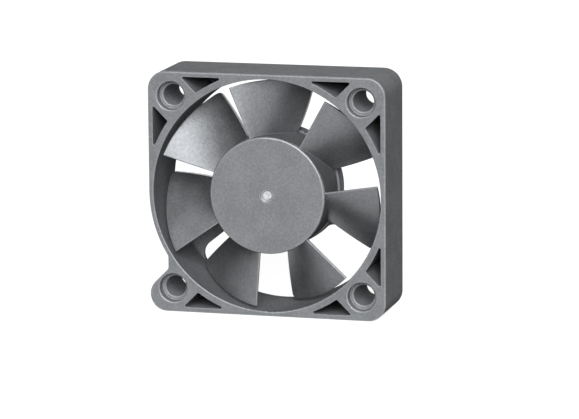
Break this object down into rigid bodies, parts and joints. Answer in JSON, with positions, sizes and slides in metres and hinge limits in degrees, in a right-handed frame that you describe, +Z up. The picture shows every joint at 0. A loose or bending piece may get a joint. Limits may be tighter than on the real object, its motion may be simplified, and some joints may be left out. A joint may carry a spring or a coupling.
{
  "type": "axial cooling fan",
  "caption": "Square DC axial cooling fan with a bladed hub on ball bearings, a thin moulded frame and corner screw holes.",
  "frame": {"origin": "on the rotor's axis at mid depth, the centre of the square frame", "axes": "+X right and +Z up as seen from the front, +Y along the rotor's axis from the inlet face to the rear face with the struts"},
  "size_m": [0.05, 0.015, 0.05],
  "materials": {
    "frame_plastic": "satin moulded glass-filled PBT with a fine spark texture",
    "impeller_plastic": "satin moulded glass-filled PBT",
    "tube_brass": "turned",
    "spring_steel": "bright",
    "core_steel": "stamped silicon steel laminations",
    "insulator_plastic": "moulded nylon",
    "pin_brass": "tinned",
    "board_laminate": "glass-epoxy laminate with solder mask",
    "chip_black": "moulded epoxy",
    "capacitor_ceramic": "fired ceramic",
    "yoke_steel": "deep drawn, plated",
    "magnet_rubber": "bonded ferrite",
    "shaft_steel": "ground",
    "bearing_steel": "ground and polished",
    "cage_nylon": "moulded nylon",
    "coil_copper": "enamelled copper wire"
  },
  "bodies": {
    "housing": {"frame": "frame_plastic", "bearing_tube": "tube_brass", "preload_spring": "spring_steel", "stator_core": "core_steel", "front_insulator": "insulator_plastic", "rear_insulator": "insulator_plastic", "coil_1": "coil_copper", "coil_2": "coil_copper", "coil_3": "coil_copper", "coil_4": "coil_copper", "terminal_pins": "pin_brass", "circuit_board": "board_laminate", "hall_sensor": "chip_black", "driver_chip": "chip_black", "chip_resistors": "chip_black", "chip_capacitor": "capacitor_ceramic", "front_bearing_outer_ring": "bearing_steel", "front_bearing_shields": "spring_steel", "rear_bearing_outer_ring": "bearing_steel", "rear_bearing_shields": "spring_steel"},
    "rotor": {"impeller": "impeller_plastic", "rotor_yoke": "yoke_steel", "magnet_ring": "magnet_rubber", "shaft": "shaft_steel", "shaft_clip": "spring_steel", "shaft_shim": "shaft_steel", "front_bearing_inner_ring": "bearing_steel", "rear_bearing_inner_ring": "bearing_steel"},
    "front_balls": {"front_bearing_balls": "bearing_steel", "front_bearing_cage": "cage_nylon"},
    "rear_balls": {"rear_bearing_balls": "bearing_steel", "rear_bearing_cage": "cage_nylon"}
  },
  "joints": [
    {"name": "rotor_spin", "type": "hinge", "parent": "housing", "child": "rotor", "pos_m": [0, 0, 0], "axis": [0, -1, 0], "continuous": true},
    {"name": "front_balls_orbit", "type": "hinge", "parent": "housing", "child": "front_balls", "pos_m": [0, -0.00305, 0], "axis": [0, -1, 0], "continuous": true},
    {"name": "rear_balls_orbit", "type": "hinge", "parent": "housing", "child": "rear_balls", "pos_m": [0, 0.00485, 0], "axis": [0, -1, 0], "continuous": true}
  ],
  "couplings": [
    {"joint": "front_balls_orbit", "follows": "rotor_spin", "ratio": 0.4},
    {"joint": "rear_balls_orbit", "follows": "rotor_spin", "ratio": 0.4}
  ]
}
